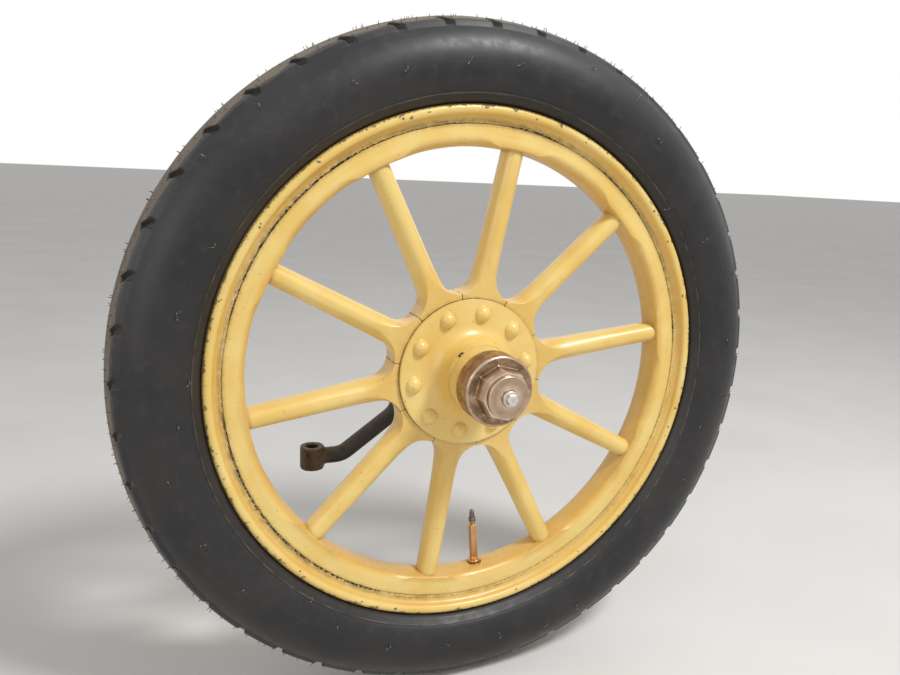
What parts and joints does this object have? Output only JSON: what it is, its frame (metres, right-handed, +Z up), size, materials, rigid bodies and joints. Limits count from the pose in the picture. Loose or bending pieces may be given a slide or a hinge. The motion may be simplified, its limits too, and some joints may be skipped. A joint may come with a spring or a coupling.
{
  "type": "wooden-spoked wheel with tyre and stub axle",
  "caption": "Front wheel of an antique taxi: wooden spokes and felloe, clincher rim, beaded-edge tyre and bronze hub cap, turning on a stub axle with kingpin eye and steering arm.",
  "frame": {"origin": "where the kingpin bore's upright axis crosses the spindle's axis", "axes": "+Z up along the kingpin bore, -Y outboard along the spindle towards the hub cap, -X forward, the way the steering arm points"},
  "size_m": [0.815, 0.2708, 0.815],
  "materials": {
    "tyre_rubber": "black rubber, satin, worn brown on the tread",
    "rim_paint": "cream-yellow gloss paint, chipped",
    "wood_paint": "cream-yellow brush paint over wood, dirty seams",
    "hub_paint": "cream-yellow gloss paint",
    "bush_bronze": "plain bearing bronze",
    "cap_bronze": "brown bronze, turned and polished",
    "bright_steel": "bright turned steel",
    "valve_brass": "old brass",
    "valve_cap_grey": "dull grey metal",
    "black_forging": "black paint over a forging, dusty",
    "plain_steel": "plain steel"
  },
  "bodies": {
    "knuckle": {"stub_axle": "black_forging", "kingpin_bush": "bush_bronze", "steering_arm": "black_forging", "steering_arm_nut": "plain_steel", "thrust_washer": "bush_bronze", "retaining_washer": "plain_steel", "retaining_nut": "plain_steel"},
    "wheel": {"tyre": "tyre_rubber", "rim": "rim_paint", "felloe_front_half": "wood_paint", "felloe_rear_half": "wood_paint", "spoke_01": "wood_paint", "spoke_02": "wood_paint", "spoke_03": "wood_paint", "spoke_04": "wood_paint", "spoke_05": "wood_paint", "spoke_06": "wood_paint", "spoke_07": "wood_paint", "spoke_08": "wood_paint", "spoke_09": "wood_paint", "spoke_10": "wood_paint", "hub_shell": "hub_paint", "hub_rear_flange": "hub_paint", "hub_bolts": "hub_paint", "hub_bolt_nuts": "hub_paint", "hub_bush_inner": "bush_bronze", "hub_bush_outer": "bush_bronze", "hub_cap": "cap_bronze", "cap_plug": "bright_steel", "valve_stem": "valve_brass", "valve_collar": "valve_brass", "valve_cap": "valve_cap_grey"}
  },
  "joints": [
    {"name": "wheel_spin", "type": "hinge", "parent": "knuckle", "child": "wheel", "pos_m": [0, -0.112, 0], "axis": [0, -1, 0], "continuous": true}
  ]
}
